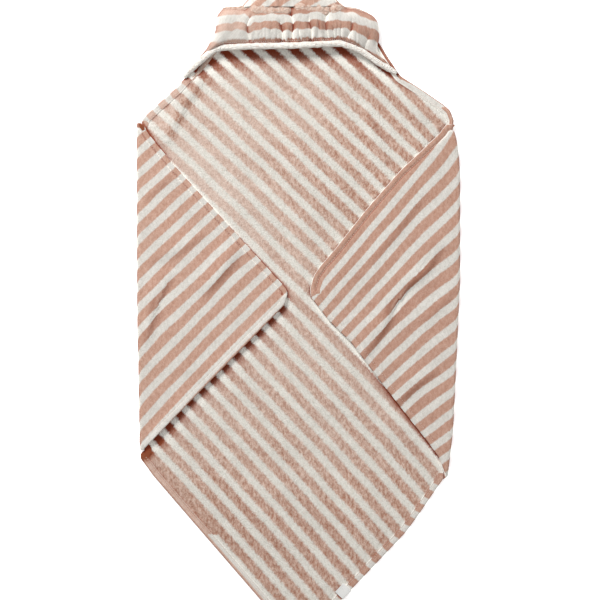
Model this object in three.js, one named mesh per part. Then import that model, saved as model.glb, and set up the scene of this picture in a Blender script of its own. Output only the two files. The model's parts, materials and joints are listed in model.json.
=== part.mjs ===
// Hooded baby towel, laid flat with its two side corners folded over the middle.
// Millimetres. +Z is up from the table, +Y runs towards the tip of the hood, and
// the origin is on the table under the middle of the towel.
import * as THREE from 'three';

// Cloth, hems and thread.
const CLOTH = 4; // thickness of the terry cloth
const HEM_WIDTH = 12; // width of the turned hem
const HEM_THICKNESS = 5.2; // the turned hem is pressed flatter than three loose layers
const THREAD_WIDTH = 1.2;
const THREAD_DROP = 0.4; // a stitch row sinks this far below the cloth
const GAP = 0.3; // clearance between neighbouring pieces
const FOLDED_TOP = 11; // height of the upper face of a folded-over side corner

// The towel's outline, laid flat: corners and the ends of the two folds, in plan.
const BOTTOM_CORNER = [1, -595];
const LOWER_RIGHT_BEND = [182, -405]; // the edge bows out a little here
const RIGHT_FOLD_BOTTOM = [256, -311];
const RIGHT_FOLD_TOP = [272.5, 308];
const NECK_RIGHT = [213, 365];
const NECK_LEFT = [-214, 365];
const LEFT_FOLD_TOP = [-272.5, 303];
const LEFT_FOLD_BOTTOM = [-268, -275];
const HOOD_TIP = [-15, 595];

// The two side corners, folded over the middle.
const LEFT_FLAP_TIP = [-17.4, 14];
const LEFT_FLAP_CORNER = [-24, -10]; // its tip is blunt
const LEFT_FLAP_LOWEST = -258; // where its lower edge meets the fold
const RIGHT_FLAP_SHOULDER = [222, 271]; // its upper edge bows out here
const RIGHT_FLAP_CHEEK = [38, 58]; // and turns down here, to a blunt tip
const RIGHT_FLAP_TIP = [21, 4];
const RIGHT_FLAP_LOWEST = -300;

// The hood.
const SEAM_WIDTH = 8; // the seams that join the hood to the towel's top corner
const BINDING_WIDTH = 13; // the rolled binding around the hood's mouth
const BINDING_HEIGHT = 7;
const BINDING_END_Z = 9.2; // middle of the binding, where it meets the side seams
const BINDING_RISE = 12; // how much higher it stands in the middle of the mouth
const BRIM_EDGE_Z = 7.8; // middle of the brim's cloth, where it meets the side seams
const BRIM_FRONT_RISE = 14; // the brim puffs up from its ends to its middle
const BRIM_BACK_RISE = 24;
const BRIM_BULGE = 6; // extra height halfway between mouth and crown
const CROWN_SEAM_SIZE = 6; // the seam ridge between brim and crown
const CROWN_RISE = 22;
const CROWN_SPAN = [0.15, 0.85]; // the part of the brim that the crown is sewn to
const CROWN_TIP = [-15, 585];
const CROWN_TIP_HALF_WIDTH = 5;
const ELASTIC_WIDTH = 6;
const ELASTIC_THICKNESS = 1.2;
const ELASTIC_SPAN = [0.3, 0.72]; // the gathered stretch of the brim
const ELASTIC_PLACE = 0.8; // how far back it lies between mouth and crown

// The woven label, sewn over the lower right hem.
const LABEL_LENGTH = 21;
const LABEL_WIDTH = 19;
const LABEL_THICKNESS = 1.2;
const LABEL_BOTTOM = 5.6;
const LABEL_MIDDLE = [77, -503];

const STRIPED_TERRY = { color: 0xd2b8a6, roughness: 0.95, metalness: 0 };
const PALE_TERRY = { color: 0xe6e1d4, roughness: 0.95, metalness: 0 };
const THREAD = { color: 0xe9e3d6, roughness: 0.7, metalness: 0 };
const LABEL_TAPE = { color: 0xf4f3f0, roughness: 0.6, metalness: 0 };
const ELASTIC = { color: 0xf0efea, roughness: 0.6, metalness: 0 };

const towel = new THREE.Group();

function addMesh(name, geometry, look) {
  const mesh = new THREE.Mesh(geometry, new THREE.MeshStandardMaterial(look));
  mesh.name = name;
  towel.add(mesh);
}

// A flat slab of cloth over a plan outline, between two heights.
function slab(outline, bottom, top) {
  const shape = new THREE.Shape(outline.map(([x, y]) => new THREE.Vector2(x, y)));
  const geometry = new THREE.ExtrudeGeometry(shape, { depth: top - bottom, bevelEnabled: false });
  geometry.translate(0, 0, bottom);
  return geometry;
}

// The line along side number `index` of an anticlockwise outline, moved inwards.
function movedSide(outline, index, inset) {
  const count = outline.length;
  const start = new THREE.Vector2(...outline[(index + count) % count]);
  const end = new THREE.Vector2(...outline[(index + 1) % count]);
  const along = end.clone().sub(start).normalize();
  const inwards = new THREE.Vector2(-along.y, along.x);
  return { point: start.addScaledVector(inwards, inset), along };
}

// Where the side before a corner and the side after it meet, each moved inwards.
function movedCorner(outline, index, insetBefore, insetAfter) {
  const before = movedSide(outline, index - 1, insetBefore);
  const after = movedSide(outline, index, insetAfter);
  const between = after.point.clone().sub(before.point);
  const reach = between.cross(after.along) / before.along.cross(after.along);
  const corner = before.point.addScaledVector(before.along, reach);
  return [corner.x, corner.y];
}

function insetOutline(outline, insets) {
  const count = outline.length;
  return outline.map((_, i) => movedCorner(outline, i, insets[(i + count - 1) % count], insets[i]));
}

// A strip inside the sides first..last of an outline, from inset `outer` to inset
// `inner`. Its ends stop at the neighbouring sides, moved inwards by the two ends.
function edgeStrip(outline, first, last, outer, inner, startInset, endInset) {
  const outerPoints = [movedCorner(outline, first, startInset, outer)];
  const innerPoints = [movedCorner(outline, first, startInset, inner)];
  for (let i = first + 1; i <= last; i += 1) {
    outerPoints.push(movedCorner(outline, i, outer, outer));
    innerPoints.push(movedCorner(outline, i, inner, inner));
  }
  outerPoints.push(movedCorner(outline, last + 1, outer, endInset));
  innerPoints.push(movedCorner(outline, last + 1, inner, endInset));
  return [...outerPoints, ...innerPoints.reverse()];
}

// A closed sheet over a grid of points, thick in Z. place(u, v) is its middle layer.
function sheet(place, columns, rows, thickness) {
  const positions = [];
  const indices = [];
  const half = thickness / 2;
  const layerSize = (columns + 1) * (rows + 1);
  const at = (layer, i, j) => layer * layerSize + j * (columns + 1) + i;
  for (const offset of [-half, half]) {
    for (let j = 0; j <= rows; j += 1) {
      for (let i = 0; i <= columns; i += 1) {
        const [x, y, z] = place(i / columns, j / rows);
        positions.push(x, y, z + offset);
      }
    }
  }
  const quad = (a, b, c, d) => indices.push(a, b, c, a, c, d);
  for (let j = 0; j < rows; j += 1) {
    for (let i = 0; i < columns; i += 1) {
      quad(at(1, i, j), at(1, i + 1, j), at(1, i + 1, j + 1), at(1, i, j + 1));
      quad(at(0, i, j), at(0, i, j + 1), at(0, i + 1, j + 1), at(0, i + 1, j));
    }
  }
  for (let i = 0; i < columns; i += 1) {
    quad(at(0, i, 0), at(0, i + 1, 0), at(1, i + 1, 0), at(1, i, 0));
    quad(at(0, i + 1, rows), at(0, i, rows), at(1, i, rows), at(1, i + 1, rows));
  }
  for (let j = 0; j < rows; j += 1) {
    quad(at(0, columns, j), at(0, columns, j + 1), at(1, columns, j + 1), at(1, columns, j));
    quad(at(0, 0, j + 1), at(0, 0, j), at(1, 0, j), at(1, 0, j + 1));
  }
  const geometry = new THREE.BufferGeometry();
  geometry.setAttribute('position', new THREE.Float32BufferAttribute(positions, 3));
  geometry.setIndex(indices);
  geometry.computeVertexNormals();
  return geometry;
}

// A flattened round bar along a path that runs from left to right.
function bar(path, width, height, steps, sides) {
  const positions = [];
  const indices = [];
  for (let i = 0; i <= steps; i += 1) {
    const u = i / steps;
    const middle = path(u);
    const ahead = path(Math.min(u + 0.01, 1));
    const behind = path(Math.max(u - 0.01, 0));
    const along = new THREE.Vector2(ahead[0] - behind[0], ahead[1] - behind[1]).normalize();
    for (let k = 0; k < sides; k += 1) {
      const angle = (2 * Math.PI * (k + 0.5)) / sides;
      const across = (width / 2) * Math.cos(angle);
      const up = (height / 2) * Math.sin(angle);
      positions.push(middle[0] - along.y * across, middle[1] + along.x * across, middle[2] + up);
    }
  }
  const at = (i, k) => i * sides + (k % sides);
  for (let i = 0; i < steps; i += 1) {
    for (let k = 0; k < sides; k += 1) {
      indices.push(at(i, k), at(i + 1, k + 1), at(i + 1, k), at(i, k), at(i, k + 1), at(i + 1, k + 1));
    }
  }
  for (let k = 1; k < sides - 1; k += 1) {
    indices.push(at(0, 0), at(0, k + 1), at(0, k));
    indices.push(at(steps, 0), at(steps, k), at(steps, k + 1));
  }
  const geometry = new THREE.BufferGeometry();
  geometry.setAttribute('position', new THREE.Float32BufferAttribute(positions, 3));
  geometry.setIndex(indices);
  geometry.computeVertexNormals();
  return geometry;
}

// Where each row of stitches starts and ends, measured inwards from the edge.
const STITCH_START = HEM_WIDTH + GAP;
const STITCH_END = STITCH_START + THREAD_WIDTH;
const PANEL_START = STITCH_END + GAP;

// A hem along some sides of an outline, and the stitch row along its inner edge.
function addHem(name, outline, sides, ends, bottom, threadBottom) {
  const [first, last] = sides;
  const [start, end] = ends;
  const hem = edgeStrip(outline, first, last, 0, HEM_WIDTH, start, end);
  const stitches = edgeStrip(outline, first, last, STITCH_START, STITCH_END, start, end);
  addMesh(name, slab(hem, bottom, bottom + HEM_THICKNESS), STRIPED_TERRY);
  const threadHeight = CLOTH - 2 * THREAD_DROP;
  addMesh(`${name}_thread`, slab(stitches, threadBottom, threadBottom + threadHeight), THREAD);
}

// The middle of the towel. Its sides, anticlockwise from the bottom corner, are
// two lower right sides, right fold, right shoulder, neck, left shoulder, left
// fold and lower left side.
const middle = [
  BOTTOM_CORNER,
  LOWER_RIGHT_BEND,
  RIGHT_FOLD_BOTTOM,
  RIGHT_FOLD_TOP,
  NECK_RIGHT,
  NECK_LEFT,
  LEFT_FOLD_TOP,
  LEFT_FOLD_BOTTOM,
];
const middleInsets = [PANEL_START, PANEL_START, GAP, PANEL_START, GAP, PANEL_START, GAP, PANEL_START];
addMesh('center_panel', slab(insetOutline(middle, middleInsets), 0, CLOTH), STRIPED_TERRY);
addHem('lower_right_hem', middle, [0, 1], [0, GAP], 0, THREAD_DROP);
addHem('right_shoulder_hem', middle, [3, 3], [GAP, GAP], 0, THREAD_DROP);
addHem('left_shoulder_hem', middle, [5, 5], [GAP, GAP], 0, THREAD_DROP);
addHem('lower_left_hem', middle, [7, 7], [GAP, PANEL_START], 0, THREAD_DROP);

// The side corners. Each one's hinge lies along its fold, halfway up its height,
// so that it opens out level with the middle.
function alongFold(top, bottom, y) {
  const share = (top[1] - y) / (top[1] - bottom[1]);
  return [top[0] + share * (bottom[0] - top[0]), y];
}

const hemBottom = FOLDED_TOP - HEM_THICKNESS;
const flapBottom = FOLDED_TOP - CLOTH;
const flapThreadBottom = flapBottom + THREAD_DROP;

const leftFlap = [
  LEFT_FOLD_TOP,
  alongFold(LEFT_FOLD_TOP, LEFT_FOLD_BOTTOM, LEFT_FLAP_LOWEST),
  LEFT_FLAP_CORNER,
  LEFT_FLAP_TIP,
];
const leftFlapPanel = insetOutline(leftFlap, [GAP, PANEL_START, PANEL_START, PANEL_START]);
addMesh('left_flap_panel', slab(leftFlapPanel, flapBottom, FOLDED_TOP), STRIPED_TERRY);
addHem('left_flap_lower_hem', leftFlap, [1, 2], [GAP, PANEL_START], hemBottom, flapThreadBottom);
addHem('left_flap_upper_hem', leftFlap, [3, 3], [0, GAP], hemBottom, flapThreadBottom);

const rightFlap = [
  alongFold(RIGHT_FOLD_TOP, RIGHT_FOLD_BOTTOM, RIGHT_FLAP_LOWEST),
  RIGHT_FOLD_TOP,
  RIGHT_FLAP_SHOULDER,
  RIGHT_FLAP_CHEEK,
  RIGHT_FLAP_TIP,
];
const rightFlapInsets = [GAP, PANEL_START, PANEL_START, PANEL_START, PANEL_START];
const rightFlapPanel = insetOutline(rightFlap, rightFlapInsets);
addMesh('right_flap_panel', slab(rightFlapPanel, flapBottom, FOLDED_TOP), STRIPED_TERRY);
addHem('right_flap_upper_hem', rightFlap, [1, 3], [GAP, 0], hemBottom, flapThreadBottom);
addHem('right_flap_lower_hem', rightFlap, [4, 4], [PANEL_START, GAP], hemBottom, flapThreadBottom);

// The label lies across the hem, square to the towel's lower right edge.
const labelSide = movedSide(middle, 0, 0);
const labelShape = new THREE.BoxGeometry(LABEL_LENGTH, LABEL_WIDTH, LABEL_THICKNESS);
labelShape.rotateZ(labelSide.along.angle());
labelShape.translate(...LABEL_MIDDLE, LABEL_BOTTOM + LABEL_THICKNESS / 2);
addMesh('label', labelShape, LABEL_TAPE);
const labelThread = new THREE.BoxGeometry(LABEL_LENGTH - 2, THREAD_WIDTH, THREAD_WIDTH / 2);
labelThread.translate(0, LABEL_WIDTH / 2 - 2, 0);
labelThread.rotateZ(labelSide.along.angle());
labelThread.translate(...LABEL_MIDDLE, LABEL_BOTTOM + LABEL_THICKNESS + GAP + THREAD_WIDTH / 4);
addMesh('label_thread', labelThread, THREAD);

// The towel's top corner is the back of the hood. Seams along its two free sides
// hold the brim and the crown.
const hoodBack = [NECK_RIGHT, HOOD_TIP, NECK_LEFT];
const hoodInsets = [SEAM_WIDTH + GAP, SEAM_WIDTH + GAP, GAP];
addMesh('hood_back_panel', slab(insetOutline(hoodBack, hoodInsets), 0, CLOTH), STRIPED_TERRY);
const rightSeam = edgeStrip(hoodBack, 0, 0, 0, SEAM_WIDTH, GAP, 0);
const leftSeam = edgeStrip(hoodBack, 1, 1, 0, SEAM_WIDTH, SEAM_WIDTH + GAP, GAP);
addMesh('hood_right_side_seam', slab(rightSeam, 0, HEM_THICKNESS), STRIPED_TERRY);
addMesh('hood_left_side_seam', slab(leftSeam, 0, HEM_THICKNESS), STRIPED_TERRY);

// The hood's mouth and its crown seam, in plan, from left to right.
const mouth = new THREE.SplineCurve([
  new THREE.Vector2(-190, 386),
  new THREE.Vector2(-160, 413),
  new THREE.Vector2(-110, 430),
  new THREE.Vector2(-10, 436),
  new THREE.Vector2(90, 431),
  new THREE.Vector2(140, 409),
  new THREE.Vector2(170, 382),
]);
const crownSeam = new THREE.SplineCurve([
  new THREE.Vector2(-138, 485),
  new THREE.Vector2(-92, 500),
  new THREE.Vector2(-8, 504),
  new THREE.Vector2(76, 500),
  new THREE.Vector2(130, 484),
]);

// How high a curve that arches from end to end stands at u, from 0 to 1.
function arch(u) {
  return Math.sin(Math.PI * u) ** 0.7;
}

// The point at u on a plan curve, moved towards the hood's tip by `shift`.
function shifted(curve, u, shift) {
  const point = curve.getPoint(u);
  const along = curve.getTangent(u);
  return point.addScaledVector(new THREE.Vector2(-along.y, along.x), shift);
}

const brimFrontShift = BINDING_WIDTH / 2 + GAP + THREAD_WIDTH + GAP;
const brimBackShift = -CROWN_SEAM_SIZE / 2 - GAP;

function brimPoint(u, v) {
  const front = shifted(mouth, u, brimFrontShift);
  const back = shifted(crownSeam, u, brimBackShift);
  const plan = front.lerp(back, v);
  const rise = THREE.MathUtils.lerp(BRIM_FRONT_RISE, BRIM_BACK_RISE, v);
  const height = BRIM_EDGE_Z + arch(u) * (rise + BRIM_BULGE * Math.sin(Math.PI * v));
  return [plan.x, plan.y, height];
}

function bindingPoint(u) {
  const plan = mouth.getPoint(u);
  return [plan.x, plan.y, BINDING_END_Z + BINDING_RISE * arch(u)];
}

function bindingThreadPoint(u) {
  const plan = shifted(mouth, u, BINDING_WIDTH / 2 + GAP + THREAD_WIDTH / 2);
  return [plan.x, plan.y, BRIM_EDGE_Z + BRIM_FRONT_RISE * arch(u)];
}

function crownSeamPoint(u) {
  const plan = crownSeam.getPoint(u);
  return [plan.x, plan.y, BRIM_EDGE_Z + GAP + BRIM_BACK_RISE * arch(u)];
}

function crownPoint(u, v) {
  const [spanStart, spanEnd] = CROWN_SPAN;
  const base = shifted(crownSeam, THREE.MathUtils.lerp(spanStart, spanEnd, u), -brimBackShift);
  const tip = new THREE.Vector2(CROWN_TIP[0] + (2 * u - 1) * CROWN_TIP_HALF_WIDTH, CROWN_TIP[1]);
  const plan = base.lerp(tip, v);
  return [plan.x, plan.y, BRIM_EDGE_Z + CROWN_RISE * arch(u) * Math.cos((Math.PI / 2) * v)];
}

function elasticPoint(u) {
  const [spanStart, spanEnd] = ELASTIC_SPAN;
  const [x, y, z] = brimPoint(THREE.MathUtils.lerp(spanStart, spanEnd, u), ELASTIC_PLACE);
  return [x, y, z - CLOTH / 2 - GAP - ELASTIC_THICKNESS];
}

addMesh('hood_brim', sheet(brimPoint, 28, 6, CLOTH), STRIPED_TERRY);
addMesh('hood_crown', sheet(crownPoint, 18, 8, CLOTH), STRIPED_TERRY);
addMesh('rim_binding', bar(bindingPoint, BINDING_WIDTH, BINDING_HEIGHT, 32, 8), PALE_TERRY);
addMesh('rim_binding_thread', bar(bindingThreadPoint, THREAD_WIDTH, THREAD_WIDTH, 32, 4), THREAD);
addMesh('crown_seam', bar(crownSeamPoint, CROWN_SEAM_SIZE, CROWN_SEAM_SIZE, 24, 8), STRIPED_TERRY);
addMesh('brim_elastic', bar(elasticPoint, ELASTIC_WIDTH, ELASTIC_THICKNESS, 16, 4), ELASTIC);

export default towel;
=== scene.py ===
"""Looks of a hooded baby towel that lies flat with its two side corners folded in."""

import json
import math

import bmesh
import bpy
import numpy as np
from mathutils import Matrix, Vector, geometry, noise


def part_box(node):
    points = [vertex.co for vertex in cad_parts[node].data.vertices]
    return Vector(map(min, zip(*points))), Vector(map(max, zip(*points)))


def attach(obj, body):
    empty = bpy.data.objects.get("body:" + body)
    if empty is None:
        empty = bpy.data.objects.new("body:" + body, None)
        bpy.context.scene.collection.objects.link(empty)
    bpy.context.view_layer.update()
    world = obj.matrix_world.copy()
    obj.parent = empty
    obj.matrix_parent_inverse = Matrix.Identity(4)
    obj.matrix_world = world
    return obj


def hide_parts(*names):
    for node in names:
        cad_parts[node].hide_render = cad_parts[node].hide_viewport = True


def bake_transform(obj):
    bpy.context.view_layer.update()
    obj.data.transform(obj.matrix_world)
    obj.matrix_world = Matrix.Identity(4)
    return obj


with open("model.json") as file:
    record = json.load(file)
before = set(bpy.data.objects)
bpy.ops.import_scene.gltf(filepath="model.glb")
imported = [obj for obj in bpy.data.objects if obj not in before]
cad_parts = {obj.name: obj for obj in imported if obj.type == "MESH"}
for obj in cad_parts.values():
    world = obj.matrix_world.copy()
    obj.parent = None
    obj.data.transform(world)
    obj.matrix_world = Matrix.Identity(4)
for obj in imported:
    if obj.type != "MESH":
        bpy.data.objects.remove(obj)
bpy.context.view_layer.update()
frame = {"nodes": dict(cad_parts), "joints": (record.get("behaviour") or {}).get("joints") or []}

MM = 0.001
UV_STEP = 1000  # keeps the pieces' places on the cloth's plane apart, so none share a grain
CLOTH = 4.0
BEND_RADIUS = 3.5  # middle of the cloth, where a side corner folds over
BEND_HEIGHT = 5.5  # height of the fold's axis
BEND_FLAT = 3.0  # the folded cloth runs this far back under the towel
BOW_REACH = 60.0  # how far in from a fold the cloth follows its belly
BEND_UNROLLED = math.pi * BEND_RADIUS + BEND_FLAT
HEM_WIDTH = 11.8
HEM_EXTRA = 1.4  # the turned hem stands this much higher on the towel's front
HEM_STITCH = 9.6
EDGE_ROUND = 2.6
HOOD_CLOTH = 3.2  # the hood's cloth is a little thinner where it is gathered
WHITE_HALF = 0.226  # half of a white stripe, where one white and one pink stripe count 1


# ---------------------------------------------------------------- small helpers


def ease(low, high, x):
    """0 below low, 1 above high, smooth between."""
    t = np.clip((np.asarray(x, float) - low) / (high - low), 0, 1)
    return t * t * (3 - 2 * t)


def bell(x, width):
    return np.exp(-((np.asarray(x, float) / width) ** 2))


def field(x, y, seed):
    """Smooth noise from -1 to 1, for arrays of places that are measured in lumps."""
    x, y = np.broadcast_arrays(x, y)
    return np.array([noise.noise((a, b, seed)) for a, b in zip(x.ravel(), y.ravel())]).reshape(x.shape)


def fuzz(points, size, seed):
    """Smooth noise from -1 to 1 at plan points, with lumps of about `size` mm."""
    return field(points[..., 0] / size, points[..., 1] / size, seed)


def round_edge(x):
    """A quarter round, which climbs from 0 at x 0 to 1 at x 1."""
    return np.sqrt(np.clip(1 - (1 - np.clip(x, 0, 1)) ** 2, 0, 1))


def run_along(line):
    """How far along a polyline each of its points lies."""
    return np.concatenate([[0], np.cumsum(np.linalg.norm(np.diff(line, axis=0), axis=1))])


def nearest_index(line, point):
    return int(np.argmin(np.linalg.norm(line - point, axis=1)))


def spline(points):
    """A smooth curve through points; call it with values from 0 to 1."""
    points = np.array(points, float)
    last = len(points) - 1

    def at(u):
        place = np.clip(np.asarray(u, float), 0, 1) * last
        i = np.minimum(place.astype(int), last - 1)
        t = (place - i)[..., None]
        p0 = points[np.maximum(i - 1, 0)]
        p1, p2 = points[i], points[i + 1]
        p3 = points[np.minimum(i + 2, last)]
        return 0.5 * (
            2 * p1
            + (p2 - p0) * t
            + (2 * p0 - 5 * p1 + 4 * p2 - p3) * t**2
            + (3 * p1 - p0 - 3 * p2 + p3) * t**3
        )

    return at


def even(points):
    """Like spline, but equal steps from 0 to 1 cover equal lengths."""
    line = spline(points)(np.linspace(0, 1, 400))
    run = run_along(line)

    def at(u):
        place = np.asarray(u, float) * run[-1]
        return np.stack([np.interp(place, run, line[:, k]) for k in (0, 1)], -1)

    return at


def spread(points, step):
    """Points about `step` mm apart along a polyline, both ends kept."""
    points = np.array(points, float)
    run = run_along(points)
    count = max(2, int(round(run[-1] / step)) + 1)
    marks = np.linspace(0, run[-1], count)
    return np.stack([np.interp(marks, run, points[:, k]) for k in range(points.shape[1])], 1)


def near_line(points, line):
    """Distance to a polyline, the nearest point on it, and how far along that is."""
    best = np.full(len(points), 1e9)
    nearest = np.zeros((len(points), 2))
    along = np.zeros(len(points))
    run = 0.0
    for start, end in zip(line[:-1], line[1:]):
        step = end - start
        length = np.linalg.norm(step)
        if length < 1e-6:
            continue
        t = np.clip((points - start) @ step / length**2, 0, 1)
        spot = start + t[:, None] * step
        gap = np.linalg.norm(points - spot, axis=1)
        closer = gap < best
        best[closer] = gap[closer]
        nearest[closer] = spot[closer]
        along[closer] = run + t[closer] * length
        run += length
    return best, nearest, along


def side_of(points, start, end):
    """Signed distance from the line start-end, positive to its left."""
    way = (np.array(end) - np.array(start)) / np.linalg.norm(np.array(end) - np.array(start))
    rel = points - np.array(start)
    return way[0] * rel[:, 1] - way[1] * rel[:, 0]


def quadratic(known):
    """A smooth plan field with these values at these points, given as (x, y, value)."""
    known = np.array(known, float)

    def terms(p):
        x, y = p[:, 0] / 300, p[:, 1] / 300
        return np.stack([np.ones_like(x), x, y, x * x, x * y, y * y], 1)

    weights = np.linalg.lstsq(terms(known[:, :2]), known[:, 2], rcond=None)[0]
    return lambda p: terms(np.asarray(p, float)) @ weights


def farthest(node, direction):
    """The plan corner of a CAD node that reaches farthest in a direction, in mm."""
    co = np.array([v.co for v in frame["nodes"][node].data.vertices])[:, :2] / MM
    return co[np.argmax(co @ np.array(direction, float))]


def round_corners(corners, radii):
    """A closed outline with each corner rounded by its own radius."""
    corners = [np.array(c, float) for c in corners]
    out = []
    for i, corner in enumerate(corners):
        before, after = corners[i - 1], corners[(i + 1) % len(corners)]
        into = (before - corner) / np.linalg.norm(before - corner)
        away = (after - corner) / np.linalg.norm(after - corner)
        half = math.acos(np.clip(into @ away, -1, 1)) / 2
        reach = min(
            radii[i] / max(math.tan(half), 0.05),
            0.45 * np.linalg.norm(before - corner),
            0.45 * np.linalg.norm(after - corner),
        )
        if radii[i] <= 0:
            out.append(corner)
            continue
        for t in np.linspace(0, 1, 7):
            start, end = corner + into * reach, corner + away * reach
            out.append((1 - t) ** 2 * start + 2 * t * (1 - t) * corner + t * t * end)
    return out


def make_object(name, vertices, faces, stripe=None, uv=None, materials=(), face_material=None, wear_and_shade=None):
    """A mesh piece. Vertices and uv are in mm; stripe counts stripes, white on whole numbers.

    The last argument says how far the pink is painted paler, for wear and in places for light; where it
    is negative the pink is painted darker, for a darker tone and mostly as shade.
    """
    mesh = bpy.data.meshes.new(name)
    mesh.from_pydata((np.asarray(vertices, float) * MM).tolist(), [], [list(f) for f in faces])
    count = len(mesh.vertices)
    attribute = mesh.attributes.new("stripe", "FLOAT", "POINT")
    values = np.zeros(count) if stripe is None else np.asarray(stripe, float)
    attribute.data.foreach_set("value", values.astype(np.float32))
    attribute = mesh.attributes.new("wear_and_shade", "FLOAT", "POINT")
    values = np.zeros(count) if wear_and_shade is None else np.asarray(wear_and_shade, float)
    attribute.data.foreach_set("value", values.astype(np.float32))
    flat = np.asarray(vertices, float)[:, :2] if uv is None else np.asarray(uv, float)
    loops = np.zeros(len(mesh.loops), np.int32)
    mesh.loops.foreach_get("vertex_index", loops)
    layer = mesh.uv_layers.new(name="cloth")
    layer.data.foreach_set("uv", (flat[loops] * MM).astype(np.float32).ravel())
    for material in materials:
        mesh.materials.append(material)
    if face_material is not None:
        mesh.polygons.foreach_set("material_index", np.asarray(face_material, np.int32))
    mesh.polygons.foreach_set("use_smooth", np.ones(len(mesh.polygons), bool))
    work = bmesh.new()
    work.from_mesh(mesh)
    bmesh.ops.remove_doubles(work, verts=work.verts, dist=1e-6)
    bmesh.ops.recalc_face_normals(work, faces=work.faces)
    work.to_mesh(mesh)
    work.free()
    mesh.update()
    piece = bpy.data.objects.new(name, mesh)
    bpy.context.scene.collection.objects.link(piece)
    return piece


RINGS = (0.35, 0.9, 1.7, 2.6, 4.4, 6.4, 8.0, 8.8, 9.4, 10.0, 10.6, 11.4, 11.9, 12.5, 13.6, 15.5, 18.5)


def plan_mesh(outline, spacing, edge_step=3.4):
    """Triangles over a plan outline, with rings of points along its edge for the hem."""
    rim = spread(np.vstack([outline, outline[:1]]), edge_step)[:-1]
    closed = np.vstack([rim, rim[:1]])
    ahead = np.roll(rim, -1, axis=0) - np.roll(rim, 1, axis=0)
    ahead /= np.linalg.norm(ahead, axis=1)[:, None]
    inwards = np.stack([-ahead[:, 1], ahead[:, 0]], 1)
    points = [rim]
    for depth in RINGS:
        ring = rim + inwards * depth
        gap = near_line(ring, closed)[0]
        points.append(ring[gap > depth - 0.12])
    low, high = rim.min(0), rim.max(0)
    rows = []
    for k, y in enumerate(np.arange(low[1], high[1], spacing * math.sqrt(3) / 2)):
        shift = spacing / 2 if k % 2 else 0
        rows += [(x + shift, y) for x in np.arange(low[0], high[0], spacing)]
    grid = np.array(rows)
    inside = np.zeros(len(grid), bool)
    for a, b in zip(closed[:-1], closed[1:]):
        crosses = (a[1] > grid[:, 1]) != (b[1] > grid[:, 1])
        with np.errstate(divide="ignore", invalid="ignore"):
            at = a[0] + (grid[:, 1] - a[1]) * (b[0] - a[0]) / (b[1] - a[1])
        inside ^= crosses & (grid[:, 0] < at)
    grid = grid[inside]
    grid = grid[near_line(grid, closed)[0] > RINGS[-1] + spacing * 0.5]
    points.append(grid)
    everything = np.vstack(points)
    border = [(i, (i + 1) % len(rim)) for i in range(len(rim))]
    result = geometry.delaunay_2d_cdt([Vector(p) for p in everything], border, [], 1, 1e-4)
    plan = np.array([tuple(v) for v in result[0]])
    return plan, [tuple(f) for f in result[2]]


def border_edges(faces):
    """Directed edges that only one face uses."""
    seen = {}
    for face in faces:
        for a, b in zip(face, face[1:] + face[:1]):
            seen[(a, b)] = True
    return [e for e in seen if (e[1], e[0]) not in seen]


def two_sided(faces, count):
    """Faces of a closed cloth whose lower layer's vertices follow the upper layer's."""
    upper = [tuple(f) for f in faces]
    lower = [tuple(i + count for i in reversed(f)) for f in faces]
    sides = [(b, a, a + count, b + count) for a, b in border_edges(upper)]
    return upper, lower, sides


def along_crease(points, path):
    """Gap to a crease, the nearest point on it, its fade to both ends, and what is on its right."""
    line = spread(spline(path)(np.linspace(0, 1, 24)), 4)
    gap, nearest, along = near_line(points, line)
    fade = np.clip(np.sin(np.pi * np.clip(along / run_along(line)[-1], 0, 1)), 0, 1)
    right = side_of(points, line[0], line[-1]) <= 0
    return gap, nearest, fade, right


def gathered_shift(points, path, amount, reach=60.0):
    """Plan shift of the cloth on the right of a crease, where its steep side takes cloth up."""
    gap, nearest, fade, right = along_crease(points, path)
    share = ease(0, 9, gap) * (1 - ease(12, reach, gap)) * fade * right
    away = (points - nearest) / np.maximum(gap, 1e-6)[:, None]
    return away * (amount * share)[:, None]


def crease(points, path, height, right_width, left_width):
    """Height of a soft ridge along a path. Its right side is the steep one."""
    gap, _, fade, right = along_crease(points, path)
    return height * fade**0.6 * bell(gap, np.where(right, right_width, left_width))


def crease_painted_shade(points, path, reach):
    """How strongly a crease's steep side is painted dark as shade, 0 to 1."""
    gap, _, fade, right = along_crease(points, path)
    offset = np.where(right, gap, -gap)
    return np.sqrt(fade) * bell(offset - 0.45 * reach, reach)


# ---------------------------------------------------------------- materials


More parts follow.
